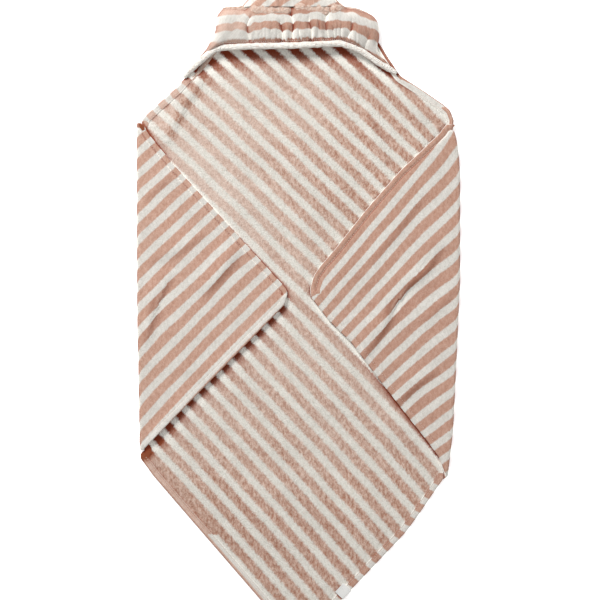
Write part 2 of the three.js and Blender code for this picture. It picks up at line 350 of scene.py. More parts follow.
class Nodes:
    """A little shorthand for building a material's nodes."""

    def __init__(self, name):
        self.material = bpy.data.materials.new(name)
        self.material.use_nodes = True
        self.tree = self.material.node_tree
        self.shader = self.tree.nodes["Principled BSDF"]

    def link(self, value, socket):
        if isinstance(value, bpy.types.NodeSocket):
            self.tree.links.new(value, socket)
        else:
            socket.default_value = value

    def uv(self):
        node = self.tree.nodes.new("ShaderNodeUVMap")
        node.uv_map = "cloth"
        return node.outputs[0]

    def attribute(self, name):
        node = self.tree.nodes.new("ShaderNodeAttribute")
        node.attribute_name = name
        return node.outputs["Fac"]

    def stretched(self, vector, angle, scale):
        """The cloth's own plane, turned by an angle and scaled along its two ways."""
        node = self.tree.nodes.new("ShaderNodeMapping")
        self.link(vector, node.inputs["Vector"])
        node.inputs["Rotation"].default_value = (0, 0, math.radians(angle))
        node.inputs["Scale"].default_value = (scale[0], scale[1], 1)
        return node.outputs[0]

    def noise(self, vector, size, detail=2.0, roughness=0.5):
        node = self.tree.nodes.new("ShaderNodeTexNoise")
        node.noise_dimensions = "2D"
        self.link(vector, node.inputs["Vector"])
        node.inputs["Scale"].default_value = 1 / (size * MM)
        node.inputs["Detail"].default_value = detail
        node.inputs["Roughness"].default_value = roughness
        return node.outputs["Fac"]

    def cells(self, vector, size):
        node = self.tree.nodes.new("ShaderNodeTexVoronoi")
        node.voronoi_dimensions = "2D"
        self.link(vector, node.inputs["Vector"])
        node.inputs["Scale"].default_value = 1 / (size * MM)
        return node.outputs["Distance"]

    def maths(self, operation, a, b=0.0, c=0.0):
        node = self.tree.nodes.new("ShaderNodeMath")
        node.operation = operation
        for value, socket in zip((a, b, c), node.inputs):
            self.link(value, socket)
        return node.outputs[0]

    def rescale(self, value, low, high, to_low=0.0, to_high=1.0, smooth=False):
        node = self.tree.nodes.new("ShaderNodeMapRange")
        node.interpolation_type = "SMOOTHSTEP" if smooth else "LINEAR"
        for v, socket in zip((value, low, high, to_low, to_high), node.inputs):
            self.link(v, socket)
        return node.outputs[0]

    def mix(self, share, a, b, mode="MIX"):
        node = self.tree.nodes.new("ShaderNodeMix")
        node.data_type = "RGBA"
        node.blend_type = mode
        self.link(share, node.inputs[0])
        for value, socket in ((a, node.inputs[6]), (b, node.inputs[7])):
            self.link(value, socket)
        return node.outputs[2]

    def openness(self, reach, lean):
        """Near 1 in the open, less where other cloth lies close over a point or on its lean side."""
        surface = self.tree.nodes.new("ShaderNodeNewGeometry")
        added = self.tree.nodes.new("ShaderNodeVectorMath")
        added.operation = "ADD"
        self.link(surface.outputs["Normal"], added.inputs[0])
        added.inputs[1].default_value = lean
        unit = self.tree.nodes.new("ShaderNodeVectorMath")
        unit.operation = "NORMALIZE"
        self.link(added.outputs[0], unit.inputs[0])
        node = self.tree.nodes.new("ShaderNodeAmbientOcclusion")
        node.samples = 8
        node.inputs["Distance"].default_value = reach * MM
        self.link(unit.outputs[0], node.inputs["Normal"])
        return node.outputs["AO"]

    def bump(self, height, depth, strength=1.0, under=None):
        node = self.tree.nodes.new("ShaderNodeBump")
        node.inputs["Strength"].default_value = strength
        node.inputs["Distance"].default_value = depth * MM
        self.link(height, node.inputs["Height"])
        if under is not None:
            self.link(under, node.inputs["Normal"])
        return node.outputs[0]

    def finish(self, colour, normal=None, roughness=0.95, sheen=0.0, sheen_tint=(1, 1, 1, 1)):
        self.link(colour, self.shader.inputs["Base Color"])
        self.link(roughness, self.shader.inputs["Roughness"])
        if normal is not None:
            self.link(normal, self.shader.inputs["Normal"])
        self.shader.inputs["Specular IOR Level"].default_value = 0.12
        self.shader.inputs["Sheen Weight"].default_value = sheen
        self.shader.inputs["Sheen Roughness"].default_value = 0.6
        self.shader.inputs["Sheen Tint"].default_value = sheen_tint
        return self.material


DYE = 0.86  # share of the light that the palest yarn gives back
SHADE_SIDE = (-0.30, 0.50, 0.0)  # cloth that is covered from this side lies in deep shade


def rgb(red, green, blue, share=DYE):
    """A colour given as 0-255 display values, times the share of the light that it gives back."""

    def one(v):
        v /= 255
        linear = v / 12.92 if v <= 0.04045 else ((v + 0.055) / 1.055) ** 2.4
        return linear * share

    return (one(red), one(green), one(blue), 1.0)


WORN_AND_LIT_PINK = rgb(230, 214, 202)  # dyed pile brushed open down to its undyed ground, and pink painted paler where light falls on the hood's brim
DARK_TONE_AND_SHADE_PINK = rgb(140, 78, 50)  # darker pink, for a darker tone in places and for painted shade in creases, below the hood's rim and beside the left side corner
PAINTED_SHADE_PINK = rgb(140, 58, 30)  # pink painted dark as shade where other cloth lies close
PAINTED_LIGHT_WHITE = rgb(250, 247, 238, 1)  # white painted paler than its own colour, so that it stays light where shade falls


def striped(name, jagged, blur, fleck, loop_size, depth, pinks, whites):
    """Terry in two colours. White lies where the stripe count is a whole number.

    Where other cloth lies close over it, or on the side that SHADE_SIDE points to, the pink is painted dark
    as shade, and the white is painted paler than its own colour so that it stays light there.
    """
    m = Nodes(name)
    flat = m.uv()
    fine = m.noise(flat, 4.2, detail=4.0, roughness=0.72)
    coarse = m.noise(flat, 11.0, detail=2.0)
    soft = m.noise(flat, 55.0, detail=2.0)
    shift = m.maths("MULTIPLY", m.maths("SUBTRACT", fine, 0.5), jagged)
    sway = m.maths("MULTIPLY", m.maths("SUBTRACT", coarse, 0.5), jagged * 0.22)
    count = m.maths("ADD", m.maths("ADD", m.attribute("stripe"), shift), sway)
    place = m.maths("PINGPONG", count, 0.5)
    pinkness = m.rescale(place, WHITE_HALF - blur, WHITE_HALF + blur, smooth=True)
    loops = m.cells(m.stretched(flat, 45, (1.0, 0.62)), loop_size)
    speck = m.noise(m.stretched(flat, 45, (1.0, 0.55)), 5.0, detail=4.0, roughness=0.74)
    tone = m.rescale(speck, 0.5 - fleck, 0.5 + fleck)
    pink = m.mix(tone, pinks[0], pinks[1])
    # Paler pink where the cloth is worn or painted lit, darker pink where a darker tone or shade is painted.
    wear_and_shade = m.attribute("wear_and_shade")
    pink = m.mix(m.maths("MAXIMUM", wear_and_shade, 0.0), pink, WORN_AND_LIT_PINK)
    pink = m.mix(m.maths("MAXIMUM", m.maths("MULTIPLY", wear_and_shade, -1.0), 0.0), pink, DARK_TONE_AND_SHADE_PINK)
    pale = m.mix(m.rescale(speck, 0.36, 0.64), whites[0], whites[1])
    blush = m.rescale(m.noise(flat, 7.0, detail=4.0, roughness=0.75), 0.55, 0.75, 0.0, jagged * 1.2)
    pale = m.mix(blush, pale, pinks[1])
    # Painted shade and light from ambient occlusion: the pink darkens and the white pales where cloth lies
    # close or on the shade side.
    open_air = m.rescale(m.openness(80, SHADE_SIDE), 0.55, 0.915, smooth=True)
    pink = m.mix(open_air, PAINTED_SHADE_PINK, pink)
    pale = m.mix(open_air, PAINTED_LIGHT_WHITE, pale)
    colour = m.mix(pinkness, pale, pink)
    patch = m.rescale(soft, 0.3, 0.7, 0.965, 1.03)
    shade = m.rescale(loops, 0.1, 0.75, 1.04, 0.92)
    tint = m.maths("MULTIPLY", patch, shade)
    grey = m.tree.nodes.new("ShaderNodeCombineColor")
    for socket in grey.inputs[:3]:
        m.link(tint, socket)
    colour = m.mix(1.0, colour, grey.outputs[0], "MULTIPLY")
    pile = m.maths("SUBTRACT", m.maths("MULTIPLY", speck, 1.6), loops)
    normal = m.bump(pile, depth)
    normal = m.bump(m.noise(flat, 14.0, detail=1.0), depth * 1.2, 0.5, normal)
    return m.finish(colour, normal, 0.95, 0.12, rgb(255, 244, 236))


front_pinks = (rgb(168, 122, 100), rgb(218, 190, 174))
front_whites = (rgb(214, 210, 200), rgb(228, 224, 216))
back_pinks = (rgb(186, 143, 122), rgb(211, 175, 157))
back_whites = (rgb(209, 204, 196), rgb(224, 220, 213))
terry_front = striped("striped_terry_front", 0.30, 0.10, 0.16, 2.0, 0.75, front_pinks, front_whites)
terry_back = striped("striped_terry_back", 0.12, 0.05, 0.20, 1.4, 0.5, back_pinks, back_whites)


def pale_cloth(name, low, high, blush, loop_size, depth):
    """Off-white towelling, with a blush of the stripe's pink caught in its pile."""
    m = Nodes(name)
    flat = m.uv()
    speck = m.noise(flat, 3.0, detail=3.0, roughness=0.65)
    loops = m.cells(flat, loop_size)
    colour = m.mix(m.rescale(speck, 0.3, 0.7), low, high)
    colour = m.mix(m.rescale(m.noise(flat, 6.0, detail=3.0, roughness=0.7), 0.52, 0.75), colour, blush)
    normal = m.bump(m.maths("SUBTRACT", speck, loops), depth)
    normal = m.bump(m.noise(flat, 9.0, detail=2.0), depth * 2, 0.6, normal)
    return m.finish(colour, normal, 0.95, 0.12, rgb(255, 248, 240))


binding_cloth = pale_cloth(
    "pale_binding_cloth",
    low=rgb(236, 232, 222, 0.97),
    high=rgb(252, 250, 244, 1.0),
    blush=rgb(236, 214, 200),
    loop_size=2.2,
    depth=1.6,
)
seam_cloth = pale_cloth(
    "mottled_seam_cloth",
    low=rgb(206, 164, 144),
    high=rgb(236, 222, 208),
    blush=rgb(188, 138, 114),
    loop_size=2.4,
    depth=1.2,
)


def thread_material(name, low, high):
    """Twisted sewing thread."""
    m = Nodes(name)
    flat = m.uv()
    wave = m.tree.nodes.new("ShaderNodeTexWave")
    wave.bands_direction = "DIAGONAL"
    m.link(flat, wave.inputs["Vector"])
    wave.inputs["Scale"].default_value = 1 / (0.5 * MM)
    twist = wave.outputs["Fac"]
    colour = m.mix(m.rescale(m.noise(flat, 5.0), 0.35, 0.65), low, high)
    colour = m.mix(m.rescale(twist, 0.0, 1.0, 0.0, 0.25), colour, low)
    return m.finish(colour, m.bump(twist, 0.08), 0.7, 0.05)


sewing_thread = thread_material("sewing_thread", rgb(208, 184, 168), rgb(226, 211, 198))
white_thread = thread_material("white_thread", rgb(214, 210, 202), rgb(233, 230, 224))


def woven(name, base, dark, rib, sheen):
    """A plain woven tape: fine ribs one way and finer threads the other."""
    m = Nodes(name)
    flat = m.uv()
    heights = []
    for angle, size in ((0, rib), (90, rib * 0.6)):
        wave = m.tree.nodes.new("ShaderNodeTexWave")
        m.link(m.stretched(flat, angle, (1, 1)), wave.inputs["Vector"])
        wave.inputs["Scale"].default_value = 1 / (size * MM * math.pi)
        heights.append(wave.outputs["Fac"])
    weave = m.maths("MULTIPLY", heights[0], heights[1])
    speck = m.noise(flat, 2.5, detail=3.0)
    colour = m.mix(m.rescale(weave, 0.0, 1.0, 0.35, 0.0), base, dark)
    colour = m.mix(m.rescale(speck, 0.35, 0.7, 0.0, 0.18), colour, dark)
    return m.finish(colour, m.bump(weave, 0.15), 0.6, sheen)


label_tape = woven("label_tape", rgb(244, 243, 240), rgb(222, 221, 218), 0.5, 0.05)
elastic_tape = woven("elastic_tape", rgb(238, 236, 230), rgb(208, 205, 198), 1.1, 0.1)


# ---------------------------------------------------------------- plan of the towel

bottom_corner = farthest("lower_right_hem", (0, -1))
lower_right_bend = farthest("lower_right_hem", (0.745, -0.667))
right_fold_bottom = farthest("lower_right_hem", (1, -0.3))
right_fold_top = farthest("right_shoulder_hem", (1, 0.1))
neck_left = farthest("left_shoulder_hem", (0, 1))
left_fold_top = farthest("left_shoulder_hem", (-1, 0.1))
left_fold_bottom = farthest("lower_left_hem", (-1, -0.3))
hood_tip = farthest("hood_right_side_seam", (0, 1))
left_tip = farthest("left_flap_upper_hem", (1, 0))
right_tip = farthest("right_flap_upper_hem", (-1, 0))
left_corner = farthest("left_flap_lower_hem", (1, -0.5))
left_low = farthest("left_flap_lower_hem", (-1, -1))
right_shoulder = farthest("right_flap_upper_hem", (-0.65, 0.76))
right_cheek = farthest("right_flap_upper_hem", (-0.85, 0.5))
right_low = farthest("right_flap_lower_hem", (1, -1))
joints = {j["name"]: j for j in frame["joints"]}


class Fold:
    """The straight line that a side corner folds along. Distances inwards are positive.

    sign is 1 for a fold on the towel's right. bulge lists how far the rounded fold bellies
    out past the straight line, as pairs of Y and distance.
    """

    def __init__(self, joint, top, bottom, sign, bulge):
        self.point = np.array(joints[joint]["pos_m"][:2]) / MM
        way = np.array(bottom, float) - np.array(top, float)
        self.way = way / np.linalg.norm(way)
        normal = np.array([self.way[1], -self.way[0]])
        self.inwards = normal if normal[0] * sign < 0 else -normal
        self.bulge = np.array(bulge, float)

    def depth(self, points):
        return (points - self.point) @ self.inwards

    def bow(self, points):
        """How far the rounded fold bellies out past a straight one."""
        return np.interp(points[:, 1], self.bulge[:, 0], self.bulge[:, 1])

    def bowed(self, points, stop=1e6):
        """The points moved out with the fold, less the farther in they lie, and none above stop."""
        share = 1 - ease(0, BOW_REACH, self.depth(points))
        share = share * (1 - ease(stop - 14, stop, points[:, 1]))
        return points - self.inwards * (self.bow(points) * share)[:, None]


left_fold = Fold(
    "left_flap_fold",
    left_fold_top,
    left_fold_bottom,
    -1,
    [(-280, -0.5), (-120, 0.9), (-20, 2.4), (120, 1.6), (300, 0.4)],
)
right_fold = Fold(
    "right_flap_fold",
    right_fold_top,
    right_fold_bottom,
    1,
    [
        (-300, -4),
        (-226, 2.6),
        (-120, 5.0),
        (33, 7.7),
        (84, 6.4),
        (214, 2.9),
        (240, 0.5),
        (265, -2.9),
        (283, -7.4),
        (292, -11),
    ],
)

# How many stripes lie between the towel's bottom edge and each named place.
body_stripes = quadratic(
    [
        (*bottom_corner, -2.44),
        (*lower_right_bend, 6.65),
        (*right_fold_bottom, 10.74),
        (*right_fold_top, 26.22),
        (*left_fold_top, 12.64),
        (*left_fold_bottom, -2.01),
        (*hood_tip, 26.8),
        (0, 0, 11.65),
    ]
)
left_stripes = quadratic(
    [
        (*left_fold_top, 12.32),
        (*left_low, -2.11),
        (*left_tip, -1.8),
        (-270, 25, 4.96),
        (-143, -120, -2.04),
        (-145, 158, 5.26),
    ]
)
right_stripes = quadratic(
    [
        (*right_low, 11.19),
        (257, 275, 26.0),
        (228, 244.8, 26.0),
        (*right_tip, 26.13),
        (264, 4, 19.24),
        (149, 155.5, 26.18),
        (140.5, -148.5, 18.23),
    ]
)


def mirrored_stripes(stripes, points, nearest):
    """The stripe count on a turned hem: the cloth beyond the edge, folded back."""
    return stripes(2 * nearest - points)


# ---------------------------------------------------------------- middle of the towel


def inside_fold(corner, fold, amount):
    return np.array(corner) + fold.inwards * amount


def on_fold(fold, height):
    """The point of a fold's line at this Y."""
    return fold.point + fold.way * (height - fold.point[1]) / fold.way[1]


right_bend_top = on_fold(right_fold, 300)
left_bend_top = on_fold(left_fold, 303)
left_bend_bottom = on_fold(left_fold, -260)


# The rim of the hood's mouth, from the left shoulder to the right one.
RIM_LINE = even(
    [
        (-196, 382),
        (-187, 392),
        (-165, 412),
        (-147, 425.5),
        (-132, 430.8),
        (-108, 432.3),
        (-83, 433.2),
        (-50, 433.8),
        (-15, 434.4),
        (12, 435.5),
        (37, 436.8),
        (56, 437.9),
        (71, 437.8),
        (89, 433.6),
        (106, 426.7),
        (123, 416.4),
        (140, 404.8),
        (155, 396),
        (168, 388.5),
    ]
)
NECK_RIGHT = (218, 357)  # here the shoulders' edges meet the hood
NECK_LEFT = (-208, 366)

LEFT_SHOULDER_CREASE = [(-227, 262), (-222, 288), (-209, 314), (-195, 340), (-179, 362), (-164, 392)]
RIGHT_SHOULDER_CREASE = [(158, 232), (142, 268), (126, 300), (113, 336)]
BODY_CREASES = (  # each with its height and its two widths, on the right and the left of the path
    (LEFT_SHOULDER_CREASE, 4.6, 9, 22),
    (RIGHT_SHOULDER_CREASE, 4.2, 5, 14),
    ([(228, 305), (190, 335), (140, 372)], 3.0, 8, 16),
    ([(60, 420), (110, 380), (150, 330)], 2.2, 7, 14),
    ([(100, 120), (60, 170), (10, 210)], 2.0, 10, 18),
    ([(-60, -120), (-20, -180), (40, -260)], 2.2, 10, 20),
    ([(30, -60), (90, -150), (120, -240)], 2.2, 9, 18),
    ([(-130, -300), (-60, -380), (10, -450)], 2.0, 10, 18),
    ([(60, -300), (110, -350), (130, -420)], 2.0, 9, 16),
)
MIDDLE_SPACING = 4.4


def middle_outline():
    """The middle's outline, and its two free stretches, below the folds and above them."""
    right_bottom = inside_fold(right_fold_bottom, right_fold, BEND_FLAT)
    right_top = inside_fold(right_bend_top, right_fold, BEND_FLAT)
    left_top = inside_fold(left_bend_top, left_fold, BEND_FLAT)
    left_bottom = inside_fold(left_bend_bottom, left_fold, BEND_FLAT)
    corners_and_radii = [
        (bottom_corner, 9),
        (lower_right_bend, 60),
        (right_bottom, 0),
        (right_top, 0),
        ((266.5, 300), 4),
        ((267.5, 308), 6),
        ((261, 325), 14),
        ((250, 334.5), 20),
        (NECK_RIGHT, 30),
        ((176, 384), 12),
        ((155, 415), 20),
        ((139, 441), 20),
        (hood_tip, 8),
        (NECK_LEFT, 30),
        ((-246, 332), 20),
        ((-269, 310), 3),
        (left_top, 0),
        (left_bottom, 0),
        ((-272.5, -266), 2),
        ((-272.5, -275), 5),
        ((-261, -290), 20),
        ((-252.6, -301.7), 20),
    ]
    outline = np.array(round_corners(*zip(*corners_and_radii)))
    upper = outline[nearest_index(outline, right_top) : nearest_index(outline, left_top) + 1]
    past_left = outline[nearest_index(outline, left_bottom) :]
    lower = np.vstack([past_left, outline[: nearest_index(outline, right_bottom) + 1]])
    return outline, lower, upper


def middle_stripes(plan, depth, nearest, use_upper, corner_roll):
    """Stripe count on the middle's upper side, with the turned hems."""
    x, y = plan[:, 0], plan[:, 1]
    front = body_stripes(plan)
    front = front + 0.05 * fuzz(plan, 60, 21.0) * ease(15, 60, depth)
    front = front + 0.2 * (1 - ease(20, 110, np.hypot(x - 250, y - 322)))
    turned = depth < HEM_WIDTH
    front[turned] = mirrored_stripes(body_stripes, plan, nearest)[turned]

    # The right shoulder's edge is a white stripe with a thin line of the next pink one.
    shoulder = (x > 130) & (y > 230)
    line_width = 2.4 + 3.2 * ease(368, 380, y)
    outer = 26.0 + 0.5 * (1 - ease(line_width - 1.6, line_width, depth))
    front[shoulder] = np.minimum(front, outer)[shoulder]
    front = np.where(shoulder & turned, outer, front)
    front = np.where((corner_roll > 0.3) & (depth < 6.8), 26.5, front)

    # The lower left edge runs along a pink stripe, and past its middle a white one shows.
    low_left = (x < -20) & ~use_upper
    white_shows = y < -405
    front = np.where(low_left & white_shows & (depth > 5.5) & turned, body_stripes(plan), front)
    return np.where(low_left & (front < -1.55) & (~white_shows | (depth < 5.5)), -1.55, front)


def middle_wear_and_shade(plan, depth, use_upper, ripple):
    """Paler and darker pink over the middle, worn lines on the lower left hem, and painted shade on creases,
    below the hood's rim, beside the left side corner and in the slit at its top.
    """
    x, y = plan[:, 0], plan[:, 1]
    # Paler pink towards the upper left and across the lower middle, darker towards the bottom, with random
    # patches.
    tone_wear_and_shade = 0.32 * ease(20, 230, 0.5 * y - 0.9 * x) - 0.12 * ease(20, 420, -y)
    tone_wear_and_shade += 0.12 * fuzz(plan, 70, 12.0)
    tone_wear_and_shade += 0.24 * (1 - ease(60, 220, y + 0.5 * x)) * (1 - ease(200, 440, -y))
    tone_wear_and_shade = np.clip(tone_wear_and_shade + 0.1 * fuzz(plan, 16, 14.0), -0.3, 0.6)
    lines = np.clip(0.3 + 0.25 * np.sin(depth * 1.9 + 2 * ripple) + 0.5 * ripple, 0, 0.7)
    low_left_hem = (depth < HEM_WIDTH) & ~use_upper & (x < 0)
    tone_wear_and_shade = np.where(low_left_hem, lines * ease(1.2, 3.0, depth), tone_wear_and_shade)
    # Painted shade: darker pink on the shoulder creases' steep sides.
    tone_wear_and_shade -= 0.62 * crease_painted_shade(plan, LEFT_SHOULDER_CREASE, 9)
    tone_wear_and_shade -= 0.22 * crease_painted_shade(plan, RIGHT_SHOULDER_CREASE, 7)
    # Painted shade below the hood's rim, strongest across the middle.
    under_rim = near_line(plan, RIM_LINE(np.linspace(0, 1, 60)))[0]
    rim_shade = 0.5 * ease(-185, -130, x) * (1 - 0.6 * ease(60, 150, x))
    tone_wear_and_shade -= rim_shade * (1 - ease(10, 56, under_rim))
    # Painted shadow along the left side corner's lower edge, strongest near its fold.
    beside_flap = near_line(plan, np.array([left_bend_bottom, left_corner]))[0]
    near_fold = (1 - ease(-246, -196, x)) * (y > -300)
    tone_wear_and_shade -= 2.2 * near_fold * (1 - ease(6, 27, beside_flap))
    tone_wear_and_shade -= 0.25 * (x < 0) * (1 - ease(3, 14, beside_flap))
    # Painted shade in the slit at the top of the left fold.
    slit = near_line(plan, np.array([(-269, 306), (-262, 292), (-244, 270)]))[0]
    tone_wear_and_shade -= 1.1 * (1 - ease(0.8, 2.6, slit))
    return np.clip(tone_wear_and_shade, -1.2, 0.6)


def make_middle():
    outline, lower, upper = middle_outline()
    plan, faces = plan_mesh(outline, MIDDLE_SPACING)
    hem_upper = near_line(plan, upper)
    hem_lower = near_line(plan, lower)
    use_upper = hem_upper[0] < hem_lower[0]
    depth = np.where(use_upper, hem_upper[0], hem_lower[0])
    nearest = np.where(use_upper[:, None], hem_upper[1], hem_lower[1])
    along = np.where(use_upper, hem_upper[2], hem_lower[2])

    # The surface: gentle lumps, soft creases, and a turned hem along the free edges.
    lift = 0.8 + 0.8 * fuzz(plan, 85, 3.1) + 0.35 * fuzz(plan, 34, 8.7)
    lift = np.maximum(lift, 0) * ease(0, 30, depth)
    for path, height, width, other in BODY_CREASES:
        lift += crease(plan, path, height, width, other)
    rim = round_edge(depth / EDGE_ROUND)
    ripple = 0.28 * field(along / 9, 0.0, 5.5)
    hem = HEM_EXTRA * (1 - ease(11.5, 12.6, depth)) - 0.5 * bell(depth - HEM_STITCH, 0.9)
    hem += ripple * bell(depth - 6, 6)
    x, y = plan[:, 0], plan[:, 1]
    corner_roll = ease(236, 262, x) * ease(285, 296, y) * (1 - ease(322, 340, y))
    hem += 3.4 * corner_roll * bell(depth - 3.4, 3.4)
    top = CLOTH / 2 + (CLOTH / 2 + hem) * rim + lift
    dent = 0.5 * bell(depth - HEM_STITCH, 0.8)
    bottom = CLOTH / 2 - CLOTH / 2 * rim + dent + 0.5 * lift * ease(12, 40, depth)
    place = left_fold.bowed(right_fold.bowed(plan, stop=300.0))
    vertices = np.vstack([np.column_stack([place, top]), np.column_stack([place, bottom])])

    front = middle_stripes(plan, depth, nearest, use_upper, corner_roll)
    stripe = np.concatenate([front, body_stripes(plan)])
    tone_wear_and_shade = middle_wear_and_shade(plan, depth, use_upper, ripple)
    wear_and_shade = np.concatenate([tone_wear_and_shade, 0 * tone_wear_and_shade])
    up, down, sides = two_sided(faces, len(plan))
    centre_depth = np.array([depth[list(f)].mean() for f in faces])
    look = [1 if d < HEM_WIDTH else 0 for d in centre_depth] + [1] * (len(down) + len(sides))
    uv = np.vstack([plan, plan + (3 * UV_STEP, 0)])
    piece = make_object(
        "towel_middle", vertices, up + down + sides, stripe, uv, [terry_front, terry_back], look, wear_and_shade
    )
    return piece, lower, upper


towel_middle, lower_edge, upper_edge = make_middle()


# ---------------------------------------------------------------- side corners


FLAP_SPACING = 3.6
SLIT_SHAPE = np.array([[1.6, 0.5], [0.0, 0.86]])  # makes a round spot slanted and narrow


def make_flap(
    name,
    fold,
    corners,
    radii,
    bend_ends,
    stripes,
    creases,
    lifts=(0.0, 0.0),
    groove=(1.1, 1.0),
    edge_bands=None,
    tone=0.0,
    slit=None,
):
    """A folded-over side corner with the round bend that joins it to the middle.

    It is laid out flat first, past the fold's axis, and then rolled round the bend.
    lifts raise the edge above the tip and below it. groove is the depth and width of the
    upper stitch line, and edge_bands the stripe count at some depths from the upper edge.
    tone shifts the pink of the whole corner paler or darker, and slit is the place of a deep fold at its top
    end, which is painted dark pink as shade.
    """
    first, last = bend_ends
    unrolled_last = np.array(last) - fold.inwards * BEND_UNROLLED
    unrolled_first = np.array(first) - fold.inwards * BEND_UNROLLED
    domain = [*corners, unrolled_last, unrolled_first]
    outline = np.array(round_corners(domain, [*radii, 0, 0]))
    ahead = np.roll(outline, -1, axis=0)
    if np.sum(outline[:, 0] * ahead[:, 1] - outline[:, 1] * ahead[:, 0]) < 0:
        outline = outline[::-1]
    plan, faces = plan_mesh(outline, FLAP_SPACING)
    a = nearest_index(outline, unrolled_last)
    b = nearest_index(outline, unrolled_first)
    start, stop = (a, b) if (b - a) % len(outline) > (a - b) % len(outline) else (b, a)
    count = (stop - start) % len(outline)
    free = np.array([outline[(start + k) % len(outline)] for k in range(count + 1)])
    depth, nearest, along = near_line(plan, free)
    inward = fold.depth(plan)

    lift = 0.5 * fuzz(plan, 70, 4.4 + len(name)) + 0.25 * fuzz(plan, 28, 1.9 + len(name))
    lift *= ease(6, 40, depth) * ease(5, 40, inward)
    moved = plan.copy()
    for path, height, width, other in creases:
        lift += crease(plan, path, height, width, other) * ease(0, 14, inward)
        moved += gathered_shift(plan, path, 0.9 * height) * ease(4, 26, inward)[:, None]
    tip = free[np.argmax(fold.depth(free))]
    below_tip = nearest[:, 1] < tip[1] - 4
    edge_lift = np.where(below_tip, lifts[1], lifts[0])
    corner_lift = 1 + 0.9 * below_tip * (1 - ease(20, 90, inward))
    lift += edge_lift * corner_lift * bell(depth, 16) * ease(2, 26, inward)
    rim = round_edge(depth / EDGE_ROUND)
    ripple = 0.22 * field(along / 9, 0.0, 7.5) * bell(depth - 6, 6)
    thin = ease(-2, 14, inward)
    upper_sink = groove[0] * bell(depth - HEM_STITCH, groove[1])
    sink = np.where(below_tip, 0.5 * bell(depth - HEM_STITCH, 1.2), upper_sink)
    above = (CLOTH / 2 - sink) * rim + ripple
    below = (CLOTH / 2 + (HEM_EXTRA * (1 - ease(11.5, 12.6, depth))) * thin) * rim

    theta = np.clip(-inward / BEND_RADIUS, 0, math.pi)
    past = np.clip(-inward - math.pi * BEND_RADIUS, 0, None)
    out = np.sin(theta)
    on_axis = plan - fold.inwards * inward[:, None]
    reach = np.where(inward >= 0, inward, past)
    base = on_axis + fold.inwards * reach[:, None]
    base = base - fold.inwards * (fold.bow(plan) * (1 - ease(0, BOW_REACH, inward)))[:, None]
    middle_height = BEND_HEIGHT + BEND_RADIUS * np.cos(theta) + lift

    def layer(offset):
        spot = base - fold.inwards * (out * (BEND_RADIUS + offset))[:, None]
        return np.column_stack([spot, middle_height + offset * np.cos(theta)])

    vertices = np.vstack([layer(above), layer(-below)])
    share = np.clip(-inward / BEND_UNROLLED, 0, 1)
    back = stripes(moved) * (1 - share) + body_stripes(on_axis) * share
    if edge_bands is not None:
        banded = np.interp(depth, edge_bands[0], edge_bands[1])
        near_top = (nearest[:, 1] > tip[1] - 16) & ((plan[:, 0] < 200) | (depth < 9.5))
        back = np.where(near_top & (depth < edge_bands[0][-1]) & (back > 25.6), banded, back)
    back = back + 0.05 * fuzz(plan, 45, 31.0) * ease(5, 50, depth)
    front = back.copy()
    turned = depth < HEM_WIDTH
    front[turned] = mirrored_stripes(stripes, plan, nearest)[turned]
    up, down, sides = two_sided(faces, len(plan))
    centre_depth = np.array([depth[list(f)].mean() for f in faces])
    look = [1] * len(up) + [1 if d < HEM_WIDTH else 0 for d in centre_depth] + [1] * len(sides)
    uv = np.vstack([plan + (UV_STEP, 0), plan + (4 * UV_STEP, 0)])
    shade = tone + 0.08 * fuzz(plan, 60, 17.0)
    # Painted shade: darker pink on each crease's steep side.
    for path, height, width, other in creases:
        shade = shade - 0.1 * height * crease_painted_shade(plan, path, 1.1 * width)
    # The slit is painted dark pink as shade, on a pink stripe.
    if slit is not None:
        spot = (plan - slit) @ SLIT_SHAPE
        inside = 1 - ease(7.0, 9.5, np.linalg.norm(spot, axis=1))
        shade = shade - 1.6 * inside
        back = np.where(inside > 0.3, np.round(stripes(slit[None])[0] - 0.5) + 0.5, back)
    wear_and_shade = np.concatenate([np.clip(shade, -1.4, 0.6), np.zeros(len(plan))])
    counts = np.concatenate([back, front])
    piece = make_object(name, vertices, up + down + sides, counts, uv, [terry_front, terry_back], look, wear_and_shade)
    return piece, free


RIGHT_UPPER_EDGE = [(206, 250), (175, 221), (146, 188), (116, 153.5), (89, 119), (63, 86)]
RIGHT_LOWER_EDGE = [(52, -37), (90, -74), (139, -139), (244, -274)]
RIGHT_FLAP_VALLEY = [
    (104, -108),
    (118, -90),
    (135, -65),
    (151, -36),
    (156, -8),
    (172, 12),
    (197, 32),
    (219, 52),
    (231, 80),
    (243, 104),
]

